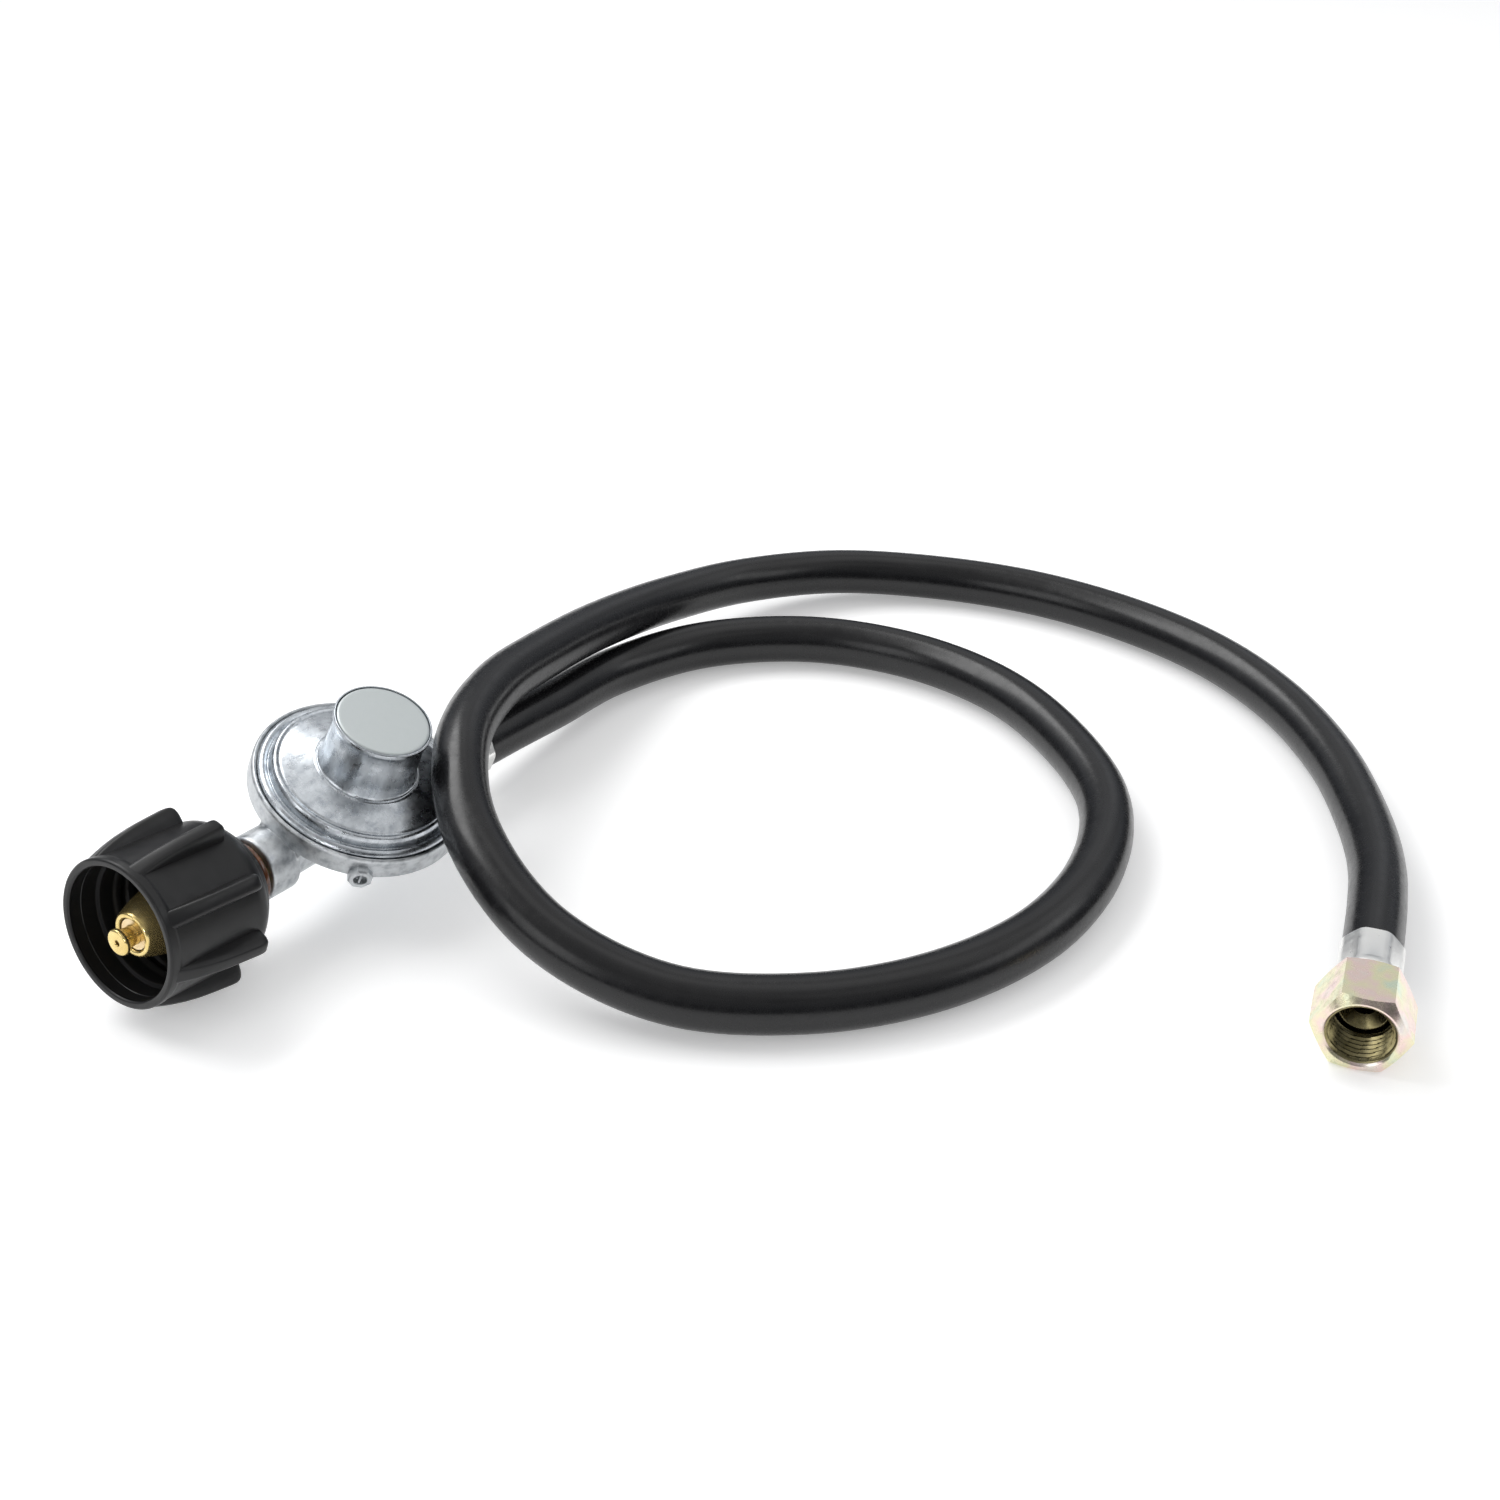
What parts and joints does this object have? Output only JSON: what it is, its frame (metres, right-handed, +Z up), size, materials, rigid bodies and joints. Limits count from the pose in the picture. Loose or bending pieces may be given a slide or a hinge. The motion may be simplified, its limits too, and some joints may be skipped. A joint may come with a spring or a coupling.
{
  "type": "propane regulator hose",
  "caption": "Low pressure propane regulator with black bottle coupling nut, zinc body, vent boss and adjusting tower, and a coiled black rubber hose ending in a flare swivel nut",
  "frame": {"origin": "on the surface the object lies on, below the middle of the regulator and its bottle coupling", "axes": "+X along the regulator from the bottle side to the hose side, +Y across it, away from the side the tower leans to, +Z up"},
  "size_m": [0.3532, 0.3073, 0.0604],
  "materials": {
    "zinc": "as-cast zinc, bare",
    "cap": "satin disc",
    "steel": "plain",
    "ferrule": "bright plated",
    "brass": "turned and polished",
    "seal": "matt",
    "black_plastic": "moulded, fine satin",
    "amber_plastic": "glossy",
    "hose_rubber": "smooth, slight sheen",
    "yellow_zinc": "pale yellow chromate"
  },
  "bodies": {
    "regulator": {"regulator_body": "zinc", "bonnet": "zinc", "tower_cap": "cap", "adjusting_screw": "steel", "adjusting_spring": "steel", "diaphragm": "seal", "lever_pin": "steel", "inlet_orifice": "brass", "inlet_nipple": "brass", "probe_guide": "brass", "probe_spring": "steel", "outlet_stem": "brass", "outlet_ferrule": "ferrule", "hose": "hose_rubber", "hose_end_ferrule": "ferrule", "flare_stem": "brass"},
    "bottle_nut": {"coupling_nut": "black_plastic", "thermal_bushing": "amber_plastic"},
    "probe_pin": {"probe": "brass"},
    "diaphragm_stack": {"diaphragm_plate": "steel", "diaphragm_stem": "brass"},
    "lever": {"valve_lever": "steel"},
    "seat": {"seat_carrier": "brass", "seat_disc": "seal"},
    "swivel_nut": {"flare_nut": "yellow_zinc"}
  },
  "joints": [
    {"name": "bottle_nut_turn", "type": "hinge", "parent": "regulator", "child": "bottle_nut", "pos_m": [-0.06715, 0.00466, 0.0283], "axis": [0.989, 0, -0.1478], "continuous": true},
    {"name": "swivel_nut_turn", "type": "hinge", "parent": "regulator", "child": "swivel_nut", "pos_m": [0.09, -0.266, 0.0112], "axis": [-0.9703, -0.2419, 0], "continuous": true},
    {"name": "probe_press", "type": "slide", "parent": "regulator", "child": "probe_pin", "axis": [0.9974, 0, -0.0715], "range_m": [0, 0.0022], "stiffness_N_per_m": 600, "deforming": ["probe_spring"]},
    {"name": "diaphragm_lift", "type": "slide", "parent": "regulator", "child": "diaphragm_stack", "axis": [0.0654, -0.4051, 0.9119], "range_m": [0, 0.0016], "stiffness_N_per_m": 1500, "deforming": ["adjusting_spring", "diaphragm"]},
    {"name": "lever_swing", "type": "hinge", "parent": "regulator", "child": "lever", "pos_m": [0.02395, 0.0028, 0.02353], "axis": [0.029, 0.9143, 0.4041], "range_deg": [0, 11.6]},
    {"name": "seat_travel", "type": "slide", "parent": "regulator", "child": "seat", "axis": [-0.9974, 0, 0.0715], "range_m": [0, 0.00094]}
  ],
  "couplings": [
    {"joint": "lever_swing", "follows": "diaphragm_lift", "rad_per_m": 125},
    {"joint": "seat_travel", "follows": "diaphragm_lift", "ratio": 0.575}
  ]
}
